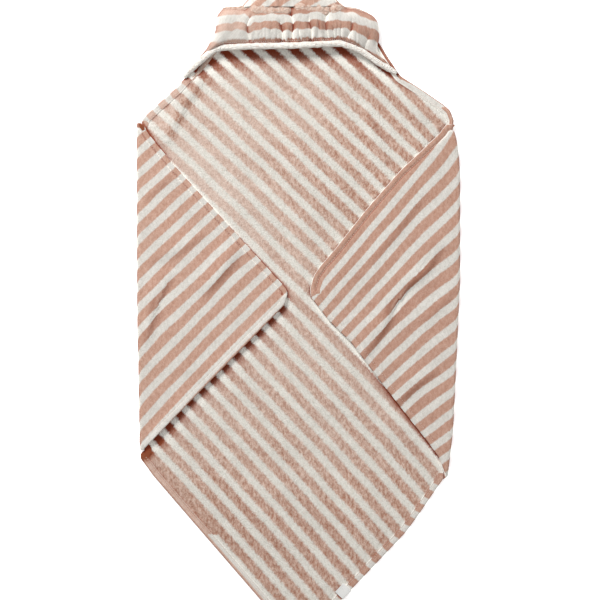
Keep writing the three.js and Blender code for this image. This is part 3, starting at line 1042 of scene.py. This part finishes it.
left_flap_cloth, left_free = make_flap(
    "left_flap_cloth",
    left_fold,
    [left_bend_bottom, left_corner, left_tip, (-213, 229), (-256, 282), (-266, 299), left_bend_top],
    [0, 10, 16, 60, 30, 3, 0],
    (left_bend_bottom, left_bend_top),
    left_stripes,
    (
        ([(-266, -84), (-253, -28), (-241, 12), (-216, 52)], 5.0, 8, 22),
        ([(-168, 8), (-132, 48), (-100, 92)], 4.8, 9, 24),
        ([(-262, 60), (-200, 90), (-150, 120)], 2.0, 9, 16),
        ([(-262, 170), (-235, 200), (-215, 215)], 1.6, 8, 14),
    ),
    lifts=(-1.5, 3.0),
    slit=np.array([-268.5, 299.5]),
)
right_flap_cloth, right_free = make_flap(
    "right_flap_cloth",
    right_fold,
    [
        right_bend_top,
        (266, 300.5),
        (250, 286.5),
        right_shoulder + (5.7, -0.3),
        *RIGHT_UPPER_EDGE,
        right_cheek + (2, 2),
        (26.7, 41.4),
        (20, 19),
        right_tip,
        *RIGHT_LOWER_EDGE,
        right_low,
    ],
    [0, 0, 20, 30, 30, 40, 40, 40, 40, 40, 20, 12, 8, 9, 20, 30, 30, 20, 0],
    (right_bend_top, right_fold_bottom),
    right_stripes,
    (
        (RIGHT_FLAP_VALLEY, 5.8, 7.5, 26),
        ([(158, -188), (180, -166), (206, -143), (236, -120)], 3.6, 8, 20),
        ([(120, 60), (170, 120), (215, 190)], 2.2, 9, 16),
        ([(215, -40), (240, -10), (262, 20)], 2.0, 8, 14),
    ),
    lifts=(-1.0, 0.6),
    groove=(1.5, 2.0),
    tone=-0.13,
    edge_bands=((0, 0.8, 2.2, 9.0, 14.0, 17.0), (26.82, 26.79, 26.5, 26.5, 26.5, 26.45)),
)


def bend_between(piece):
    """Apply a side corner's placement to its mesh."""
    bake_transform(piece)


bend_between(left_flap_cloth)
bend_between(right_flap_cloth)


# ---------------------------------------------------------------- hood

BACK_LINE = even(
    [
        (-133, 494),
        (-127, 498.5),
        (-112, 499.5),
        (-97, 498.5),
        (-65, 496.5),
        (-35, 496.5),
        (-15, 498),
        (8, 502),
        (25, 500.5),
        (45, 497.5),
        (62, 498),
        (78, 499.5),
        (92, 499),
        (106, 495),
        (124, 488),
    ]
)
LEFT_SIDE = even(
    [
        (-196, 382),
        (-185, 395),
        (-172, 410),
        (-160, 424.5),
        (-151, 441),
        (-145, 452),
        (-141, 464),
        (-139, 484),
        (-133, 494),
    ]
)
RIGHT_SIDE = even(
    [
        (168, 388.5),
        (156, 400),
        (149, 408.6),
        (139, 419),
        (134.5, 430),
        (134.5, 438),
        (137, 446),
        (137.5, 460),
        (135.3, 474),
        (130, 483),
        (124, 488),
    ]
)
GATHERS = (  # X of each valley, its width, its depth, and the part of the brim it runs over
    (-104, 5.0, 1.6, 0.5, 0.9),
    (-83, 4.4, 4.2, 0.1, 0.85),
    (-63, 2.6, 1.8, 0.0, 0.4),
    (-50, 3.4, 1.5, 0.3, 0.8),
    (-41, 2.2, 1.6, 0.0, 0.3),
    (-27.5, 3.6, 6.8, 0.05, 0.66),
    (-17, 2.0, 2.4, 0.1, 0.5),
    (-9.5, 3.2, 7.6, 0.16, 0.98),
    (5, 1.8, 2.2, 0.0, 0.42),
    (12, 1.6, 1.4, 0.0, 0.3),
    (23, 3.4, 6.6, 0.05, 0.68),
    (33, 2.0, 2.0, 0.2, 0.6),
    (46, 6.0, 6.2, 0.1, 0.98),
    (59, 2.2, 3.0, 0.0, 0.45),
    (72, 2.6, 1.6, 0.0, 0.5),
    (88, 4.4, 5.2, 0.2, 0.72),
    (119, 9.0, 6.5, 0.12, 0.62),
)
BRIM_WIDTH = 68.0
BINDING_HALF = 5.5


def arch(u):
    return np.clip(np.sin(np.pi * np.clip(u, 0, 1)), 0, 1) ** 0.7


def rim_height(u):
    return 7.6 + 16.0 * arch(u)


def brim_plan(u, v):
    """Plan position on the brim, from the binding (v 0) to the crown seam (v 1)."""
    front, back = RIM_LINE(u), BACK_LINE(u)
    base = front * (1 - v)[..., None] + back * v[..., None]
    for side, share in ((LEFT_SIDE, u), (RIGHT_SIDE, 1 - u)):
        straight = side(np.zeros_like(v)) * (1 - v)[..., None] + side(np.ones_like(v)) * v[..., None]
        pull = np.clip(1 - share / 0.34, 0, 1) ** 2
        base = base + (side(v) - straight) * pull[..., None]
    return base


def valley_line(place, v):
    """X of a gather's valley, which wanders a little from the binding to the crown."""
    return place + 3.6 * np.sin(3 * (v - 0.4) + place) + 2.0 * np.sin(8 * (v - 0.4) + 2 * place)


def gather_window(low, high, v):
    """Where across the brim a gather runs, 0 to 1."""
    return ease(low - 0.08, low + 0.08, v) * (1 - ease(high - 0.12, high + 0.1, v))


def pucker(x):
    """Where along the brim the elastic gathers it, 0 to 1."""
    return ease(-100, -80, x) * (1 - ease(95, 112, x))


def brim_surface(u, v):
    """Middle of the brim's cloth."""
    plan = brim_plan(u, v)
    flat = plan.reshape(-1, 2)
    edge_left = np.vstack([LEFT_SIDE(np.linspace(0, 1, 40)), BACK_LINE(np.linspace(0, 0.16, 12))])
    edge_right = np.vstack([RIGHT_SIDE(np.linspace(0, 1, 40)), BACK_LINE(np.linspace(1, 0.84, 12))])
    gap = np.minimum(near_line(flat, edge_left)[0], near_line(flat, edge_right)[0]).reshape(u.shape)
    roll = round_edge(gap / 20)
    puff = 17 * (1 - v) + 21 * v + 5 * np.sin(np.pi * v) ** 0.8
    height = 6.2 + roll * puff
    foot = (rim_height(u) - 2.5) * ease(0, 8, gap) + 3.0 * (1 - ease(0, 8, gap))
    risen = ease(0, 0.24, v)
    height = foot * (1 - risen) + np.maximum(height, foot) * risen
    x = plan[..., 0]
    for place, width, depth, low, high in GATHERS:
        dip = np.exp(-np.sqrt((x - valley_line(place, v)) ** 2 + 0.5) / width)
        height = height - 1.1 * depth * dip * gather_window(low, high, v)
    height = height + 2.7 * field(x / 4.6, v * 1.6, 2.2) * pucker(x) * (1 - ease(0.1, 0.9, v))
    height = height + 2.3 * fuzz(plan, 22, 7.2) * roll
    return plan, height


def brim_stripes(u, v, plan):
    """Stripe count across the brim: five bands between the binding and the crown."""
    x = plan[..., 0]
    rim = RIM_LINE(np.linspace(0, 1, 90))
    run = near_line(plan.reshape(-1, 2), rim)[0].reshape(u.shape) - BINDING_HALF
    for place, width, depth, low, high in GATHERS:
        dip = np.exp(-np.abs(x - valley_line(place, v)) / width)
        run = run + 0.9 * depth * dip * gather_window(low, high, v) * ease(0.05, 0.4, v)
    run = run + 7.0 * bell(x + 83, 7) * bell(v - 0.55, 0.3)
    run = run + 4.4 * field(x / 13, v * 2.2, 4.4) * ease(0.1, 0.4, v)
    ends = 1 - ease(-138, -112, x) + ease(84, 112, x)
    run = run + 4.6 * ends * (1 - ease(0.1, 0.45, v)) * ease(0.01, 0.05, v)
    jag = field(x / 3.2, 0.3, 9.2)
    run = run + 6.0 * jag * (0.35 + 0.65 * pucker(x)) * (1 - ease(0.05, 0.35, v))
    places = (-8, 0, 7.3, 22.5, 35.5, 48.5, 61, 70)
    edges = (-WHITE_HALF, WHITE_HALF, 1 - WHITE_HALF, 1 + WHITE_HALF, 2 - WHITE_HALF)
    return np.interp(run, places, (-0.8, -0.5, *edges, 2.1))


def grid_cloth(name, points, stripe, uv, thickness, materials, wear_and_shade=None):
    """A cloth over a grid of middle points, with both faces and a closed rim.

    The first material covers the upper face, and the second one the rest.
    """
    rows, columns = points.shape[:2]
    du = np.gradient(points, axis=1)
    dv = np.gradient(points, axis=0)
    normal = np.cross(du, dv)
    normal /= np.maximum(np.linalg.norm(normal, axis=2), 1e-9)[..., None]
    top = (points + normal * thickness / 2).reshape(-1, 3)
    bottom = (points - normal * thickness / 2).reshape(-1, 3)
    faces = []
    for j in range(rows - 1):
        for i in range(columns - 1):
            a = j * columns + i
            faces.append((a, a + 1, a + columns + 1, a + columns))
    up, down, sides = two_sided(faces, rows * columns)
    look = [0] * len(up) + [1] * (len(down) + len(sides))
    values = np.concatenate([stripe.ravel(), stripe.ravel()])
    flat = np.vstack([uv.reshape(-1, 2), uv.reshape(-1, 2) + (500, 0)])
    both = None if wear_and_shade is None else np.concatenate([wear_and_shade.ravel(), wear_and_shade.ravel()])
    vertices = np.vstack([top, bottom])
    return make_object(name, vertices, up + down + sides, values, flat, materials, look, both)


def make_brim():
    columns, rows = 420, 60
    u, v = np.meshgrid(np.linspace(0, 1, columns), np.linspace(0, 1, rows))
    plan, height = brim_surface(u, v)
    points = np.dstack([plan, height])
    stripe = brim_stripes(u, v, plan)
    uv = np.dstack([u * 400 + 1500, v * BRIM_WIDTH])
    x = plan[..., 0]
    # Painted shade and light: the pink is darker in the middle and towards the right end, and paler at the
    # left end, where the light comes from.
    wear_and_shade = -0.22 * bell(x - 20, 75) - 0.1 * ease(60, 120, x) + 0.3 * (1 - ease(-100, -50, x))
    materials = [terry_back, terry_front]
    return grid_cloth("hood_brim_cloth", points, stripe, uv, HOOD_CLOTH, materials, wear_and_shade)


def tube(name, centre, widths, heights, material, sides, uv_shift, lumps=0.0):
    """A soft flattened roll along a line of 3-D points. lumps is how uneven it is."""
    centre = np.asarray(centre, float)
    way = np.gradient(centre, axis=0)
    way /= np.linalg.norm(way, axis=1)[:, None]
    side = np.stack([-way[:, 1], way[:, 0], np.zeros(len(way))], 1)
    side /= np.linalg.norm(side, axis=1)[:, None]
    upward = np.cross(way, side)
    run = run_along(centre)
    vertices, uvs = [], []
    for i, spot in enumerate(centre):
        for k in range(sides):
            angle = 2 * math.pi * k / sides
            cosine, sine = math.cos(angle), math.sin(angle)
            swell = 1 + lumps * noise.noise((run[i] / 7, cosine * 1.2, sine * 1.2 + uv_shift))
            across = widths[i] / 2 * cosine * swell
            rise = heights[i] / 2 * sine * swell
            vertices.append(spot + side[i] * across + upward[i] * rise)
            uvs.append((run[i] + uv_shift, angle * widths[i] / 2))
    faces = []
    for i in range(len(centre) - 1):
        for k in range(sides):
            a, b = i * sides + k, i * sides + (k + 1) % sides
            faces.append((a, a + sides, b + sides, b))
    for end, flip in ((0, False), (len(centre) - 1, True)):
        ring = [end * sides + k for k in range(sides)]
        faces.append(tuple(ring if not flip else reversed(ring)))
    return make_object(name, vertices, faces, None, uvs, [material])


def make_binding():
    u = np.linspace(0, 1, 260)
    plan = RIM_LINE(u)
    height = rim_height(u) + 0.5 * field(plan[:, 0] / 16, 0.5, 1.5)
    wobble = 0.5 * field(plan[:, 0] / 9, 4.5, 1.5)
    centre = np.column_stack([plan[:, 0], plan[:, 1] + wobble, height])
    fade = 0.75 + 0.25 * ease(0, 0.06, u) * ease(0, 0.05, 1 - u)
    width = (2 * BINDING_HALF + 0.9 * field(plan[:, 0] / 12, 2.5, 9.5)) * fade
    return tube("rim_binding_roll", centre, width, width * 0.8, binding_cloth, 24, 0.0, 0.16)


CROWN_RISE = 21.0
CROWN_FAN = np.array([-210.0, 369.0])  # the crown's stripes spread from here
CROWN_WHITE = 41.0  # degrees from +X to the middle of one white stripe
CROWN_STEP = 6.3  # degrees from one white stripe to the next


def crown_edge(side, v):
    """Plan line of the crown's free side, from the brim's end to the hood's tip."""
    if side < 0:
        return np.array([-99.0, 500.0]) * (1 - v)[..., None] + (hood_tip + (-3, -6)) * v[..., None]
    return np.array([76.0, 500.0]) * (1 - v)[..., None] + (hood_tip + (3, -6)) * v[..., None]


def make_crown():
    columns, rows = 130, 60
    u, v = np.meshgrid(np.linspace(0, 1, columns), np.linspace(0, 1, rows))
    plan = crown_edge(-1, v) * (1 - u)[..., None] + crown_edge(1, v) * u[..., None]
    flat = plan.reshape(-1, 2)
    marks = np.linspace(0, 1, 30)
    gap = np.minimum(near_line(flat, crown_edge(-1, marks))[0], near_line(flat, crown_edge(1, marks))[0])
    gap = gap.reshape(u.shape)
    roll = round_edge(gap / 24)
    height = 5.6 + roll * (CROWN_RISE * np.cos(np.pi / 2 * v**1.3) + 2.5)
    folds = field(plan[..., 0] / 11, plan[..., 1] / 60, 6.2)
    height = height + roll * (2.6 * folds * (1 - ease(0.1, 0.8, v)) + 2.2 * fuzz(plan, 24, 3.2))
    rel = plan - CROWN_FAN
    angle = np.degrees(np.arctan2(rel[..., 1], rel[..., 0]))
    stripe = (angle - CROWN_WHITE) / CROWN_STEP
    uv = plan + (2600, 0)
    points = np.dstack([plan, height])
    return grid_cloth("hood_crown_cloth", points, stripe, uv, HOOD_CLOTH, [terry_back, terry_front])


def make_crown_seam():
    u = np.linspace(0.02, 0.98, 200)
    plan = BACK_LINE(u)
    _, height = brim_surface(u, np.full_like(u, 0.97))
    centre = np.column_stack([plan[:, 0], plan[:, 1] - 1.5, height + 0.6])
    middle = ease(-112, -84, plan[:, 0]) * (1 - ease(60, 88, plan[:, 0]))
    width = 6.5 + 11.0 * middle + 2.0 * field(plan[:, 0] / 9, 1.5, 3.5)
    width = width - 3.5 * bell(plan[:, 0] - 10, 16) + 2.0 * bell(plan[:, 0] - 50, 14)
    for dip in (-9.5, 54, -84):
        width = width * (1 - 0.3 * bell(plan[:, 0] - dip, 4))
        centre[:, 2] -= 1.6 * bell(plan[:, 0] - dip, 4)
    return tube("crown_seam_roll", centre, width, width * 0.34, seam_cloth, 20, 40.0, 0.16)


def make_side_seam(name, start, end, lift):
    """The rolled seam that joins the hood to the towel's top corner."""
    line = spread([start, end], 2.5)
    centre = np.column_stack([line, np.full(len(line), 4.6 + lift)])
    wobble = fuzz(line, 10, 3.5)
    centre[:, 2] += 0.4 * wobble
    width = 7.6 + 0.8 * wobble
    return tube(name, centre, width, width * 0.62, seam_cloth, 14, 90.0, 0.16)


brim = make_brim()
binding = make_binding()
crown = make_crown()
crown_seam = make_crown_seam()
left_seam = make_side_seam("hood_left_seam_roll", neck_left + (11, 8), hood_tip + (-4, -10), 0.2)
right_seam = make_side_seam("hood_right_seam_roll", np.array([132, 446.0]), hood_tip + (4, -10), 0.2)


def make_elastic():
    u = np.linspace(0.3, 0.72, 160)
    v = np.full_like(u, 0.8)
    plan, height = brim_surface(u, v)
    centre = np.column_stack([plan, height - 4.2])
    ribs = 1 + 0.25 * np.sin(np.arange(len(u)) * 1.9)
    return tube("gathering_elastic", centre, np.full(len(u), 6.5), 1.3 * ribs, elastic_tape, 12, 10.0)


elastic = make_elastic()


# ---------------------------------------------------------------- stitches and label


def surface_height(piece, points, from_above=True):
    """Height of a piece's upper or lower face over plan points, in mm."""
    depsgraph = bpy.context.evaluated_depsgraph_get()
    evaluated = piece.evaluated_get(depsgraph)
    out = []
    for x, y in points:
        start = Vector((x * MM, y * MM, 0.2 if from_above else -0.2))
        way = Vector((0, 0, -1 if from_above else 1))
        hit, spot, _, _ = evaluated.ray_cast(start, way)
        out.append(spot.z / MM if hit else np.nan)
    return np.array(out)


def stitch_row(name, piece, line, material, length=3.0, space=1.3, thick=0.9, faces_up=(True, False)):
    """Single stitches along a line on a cloth, lying in the groove that they pull."""
    bpy.context.view_layer.update()
    marks = spread(line, length + space)
    vertices, faces, uvs = [], [], []
    sides, rings = 6, 5
    for above in faces_up:
        starts = marks[:-1]
        ends = starts + (marks[1:] - starts) * (length / (length + space))
        z0 = surface_height(piece, starts, above)
        z1 = surface_height(piece, ends, above)
        for p, q, a, b in zip(starts, ends, z0, z1):
            if not (np.isfinite(a) and np.isfinite(b)):
                continue
            way = np.array([*(q - p), b - a])
            size = np.linalg.norm(way)
            way = way / size
            side = np.array([-way[1], way[0], 0])
            side /= np.linalg.norm(side)
            up = np.cross(way, side)
            base = len(vertices)
            for r in range(rings):
                t = r / (rings - 1)
                fat = math.sin(math.pi * (0.12 + 0.76 * t)) ** 0.5
                drop = 0.5 * thick * (2 * t - 1) ** 2
                height = (0.12 * thick - drop) if above else (-0.12 * thick + drop)
                spot = np.array([*p, a]) + way * (t * size) + np.array([0, 0, height])
                for k in range(sides):
                    angle = 2 * math.pi * k / sides
                    offset = side * math.cos(angle) * thick / 2 * fat + up * math.sin(angle) * thick / 2 * fat
                    vertices.append(spot + offset)
                    uvs.append((p[0] + t * size, p[1] + angle * thick / 2))
            for r in range(rings - 1):
                for k in range(sides):
                    i, j = base + r * sides + k, base + r * sides + (k + 1) % sides
                    faces.append((i, i + sides, j + sides, j))
            faces.append(tuple(base + k for k in range(sides)))
            faces.append(tuple(base + (rings - 1) * sides + k for k in reversed(range(sides))))
    return make_object(name, vertices, faces, None, uvs, [material])


def inset_line(line, amount, trim=6.0):
    """A polyline moved to its left by some amount, with its ends trimmed."""
    line = spread(line, 3.0)
    way = np.gradient(line, axis=0)
    way /= np.linalg.norm(way, axis=1)[:, None]
    moved = line + np.stack([-way[:, 1], way[:, 0]], 1) * amount
    keep = near_line(moved, line)[0] > amount - 0.4
    moved = moved[keep]
    run = run_along(moved)
    return moved[(run > trim) & (run < run[-1] - trim)]


corner_at = nearest_index(lower_edge, bottom_corner)
lower_left_line = inset_line(lower_edge[: corner_at + 1], HEM_STITCH)
lower_right_line = inset_line(lower_edge[corner_at:], HEM_STITCH)
shoulders = spread(upper_edge, 3.0)
shoulders = shoulders[shoulders[:, 1] < 372]
right_shoulder_line = inset_line(shoulders[shoulders[:, 0] > 0], HEM_STITCH)
left_shoulder_line = inset_line(shoulders[shoulders[:, 0] < 0], HEM_STITCH)

threads = {
    "lower_left_stitches": (towel_middle, lower_left_line, "root", "lower_left_hem_thread"),
    "lower_right_stitches": (towel_middle, lower_right_line, "root", "lower_right_hem_thread"),
    "right_shoulder_stitches": (towel_middle, right_shoulder_line, "root", "right_shoulder_hem_thread"),
    "left_shoulder_stitches": (towel_middle, left_shoulder_line, "root", "left_shoulder_hem_thread"),
}


def free_side(free, tip, fold, upper):
    """One free side of a side corner, from the fold to the tip."""
    at = nearest_index(free, tip)
    parts = [free[: at + 1], free[at:]]
    high = max(parts, key=lambda p: p[:, 1].mean())
    low = min(parts, key=lambda p: p[:, 1].mean())
    part = spread(high if upper else low, 3.0)
    return part[fold.depth(part) > 16]


for side, piece, free, tip, fold in (
    ("left", left_flap_cloth, left_free, left_tip, left_fold),
    ("right", right_flap_cloth, right_free, right_tip, right_fold),
):
    for upper in (True, False):
        where = "upper" if upper else "lower"
        line = inset_line(free_side(free, tip, fold, upper), HEM_STITCH)
        threads[f"{side}_flap_{where}_stitches"] = (
            piece,
            line,
            f"{side}_flap",
            f"{side}_flap_{where}_hem_thread",
        )

for name, (piece, line, body, node) in threads.items():
    row = stitch_row(name, piece, line, sewing_thread)
    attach(row, body)
    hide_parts(node)


def make_binding_stitches():
    u = np.linspace(0.03, 0.97, 112)
    plan, _ = brim_surface(u, np.full_like(u, 0.12))
    return stitch_row("binding_stitches", brim, plan, white_thread, 2.6, 1.2, 0.8, (True,))


binding_stitches = make_binding_stitches()


def make_label():
    """A woven tape that lies across the lower right hem."""
    lo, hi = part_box("label")
    middle = np.array([(lo.x + hi.x) / 2, (lo.y + hi.y) / 2]) / MM
    way = lower_right_bend - bottom_corner
    way = way / np.linalg.norm(way)
    out = np.array([way[1], -way[0]])
    length, width = 21.0, 19.0
    columns, rows = 24, 26
    points = np.zeros((rows, columns, 3))
    for j in range(rows):
        for i in range(columns):
            s = (i / (columns - 1) - 0.5) * length
            t = (j / (rows - 1) - 0.5) * width
            spot = middle + way * s + out * t
            height = 6.5 + 0.35 * math.sin(s * 0.5 + t * 0.2) - 0.02 * max(0, t - 4) ** 2
            points[j, i] = (*spot, height)
    uv = np.dstack(
        [
            np.repeat(np.linspace(0, length, columns)[None], rows, 0) + 700,
            np.repeat(np.linspace(0, width, rows)[:, None], columns, 1),
        ]
    )
    stripe = np.zeros((rows, columns))
    piece = grid_cloth("woven_label", points, stripe, uv, 0.7, [label_tape, label_tape])
    return piece, middle, way, out


label, label_middle, label_way, label_out = make_label()


def make_label_stitches():
    centre = label_middle - label_out * 7.2
    line = np.array([centre - label_way * 9.5, centre + label_way * 9.5])
    return stitch_row("label_stitches", label, line, white_thread, 2.2, 1.0, 0.6, (True,))


label_stitches = make_label_stitches()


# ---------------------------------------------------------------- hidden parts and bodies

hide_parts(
    "center_panel",
    "lower_right_hem",
    "lower_left_hem",
    "right_shoulder_hem",
    "left_shoulder_hem",
    "hood_back_panel",
)
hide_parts("left_flap_panel", "left_flap_upper_hem", "left_flap_lower_hem")
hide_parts("right_flap_panel", "right_flap_upper_hem", "right_flap_lower_hem")
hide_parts("hood_brim")
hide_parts("hood_crown")
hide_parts("crown_seam")
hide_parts("rim_binding")
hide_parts("rim_binding_thread")
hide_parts("brim_elastic")
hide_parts("hood_left_side_seam")
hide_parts("hood_right_side_seam")
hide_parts("label")
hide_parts("label_thread")

for piece in (towel_middle, brim, binding, binding_stitches, left_seam):
    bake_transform(piece)
for piece in (crown, crown_seam, elastic, right_seam):
    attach(piece, "hood")
for piece in (label, label_stitches):
    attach(piece, "root")


# ---------------------------------------------------------------- stage, light and camera


def make_floor():
    m = Nodes("pale_floor")
    flat = m.uv()
    colour = m.mix(m.noise(flat, 400.0, detail=2.0), rgb(251, 251, 251, 1), rgb(254, 254, 254, 1))
    material = m.finish(colour, None, 0.9)
    # The floor glows a little, which keeps it evenly white and pales the towel's shadows on it.
    m.shader.inputs["Emission Color"].default_value = (1, 1, 1, 1)
    m.shader.inputs["Emission Strength"].default_value = 0.45
    far, low = 6000.0, -0.3
    corners = [(-far, -far, low), (far, -far, low), (far, far, low), (-far, far, low)]
    floor = make_object("floor", corners, [(0, 1, 2, 3)], None, None, [material])


make_floor()


def area_light(name, place, size, power):
    lamp = bpy.data.lights.new(name, "AREA")
    lamp.shape = "DISK"
    lamp.size = size
    lamp.energy = power
    light = bpy.data.objects.new(name, lamp)
    light.location = place
    light.rotation_euler = (Vector((0, 0, 0)) - Vector(place)).to_track_quat("-Z", "Y").to_euler()
    bpy.context.scene.collection.objects.link(light)


area_light("key", (-1.5, 2.75, 2.55), 1.5, 178)
area_light("fill", (2.2, -1.9, 2.6), 2.4, 30)

world = bpy.data.worlds.new("studio")
world.use_nodes = True
world.node_tree.nodes["Background"].inputs["Color"].default_value = (1, 1, 1, 1)
world.node_tree.nodes["Background"].inputs["Strength"].default_value = 0.44
bpy.context.scene.world = world
bpy.context.scene.view_settings.view_transform = "Standard"

LENS = 135  # mm
SENSOR = 36  # mm
VIEW_WIDTH = 1.0344  # m of floor across the picture
camera_data = bpy.data.cameras.new("camera")
camera_data.lens = LENS
camera_data.sensor_width = SENSOR
camera_data.clip_end = 50
camera = bpy.data.objects.new("camera", camera_data)
camera.location = (0.0026, -0.0017, VIEW_WIDTH * LENS / SENSOR)
bpy.context.scene.collection.objects.link(camera)
bpy.context.scene.camera = camera

bpy.context.view_layer.update()
